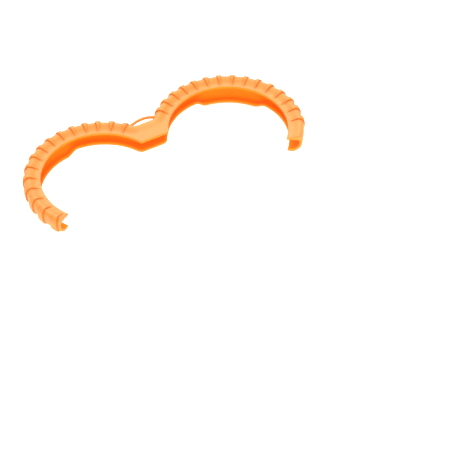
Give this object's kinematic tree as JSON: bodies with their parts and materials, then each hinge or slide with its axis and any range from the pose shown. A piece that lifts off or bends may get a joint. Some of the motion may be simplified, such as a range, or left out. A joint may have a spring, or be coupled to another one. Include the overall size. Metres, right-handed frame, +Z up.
{
  "type": "drone propeller guard",
  "caption": "Soft ribbed bumper strip with two round lobes, a channelled inner side and a small pull loop, pushed over the rim of a ducted drone.",
  "frame": {"origin": "bottom centre of the strip's bounding box", "axes": "+X along the line through the two lobe centres, +Y to the outer side where the pull loop is, +Z up out of the flat top face"},
  "size_m": [0.1878, 0.0816, 0.0184],
  "materials": {
    "silicone": "matte moulded silicone"
  },
  "bodies": {
    "root": {"guard_strip": "silicone"}
  },
  "joints": []
}
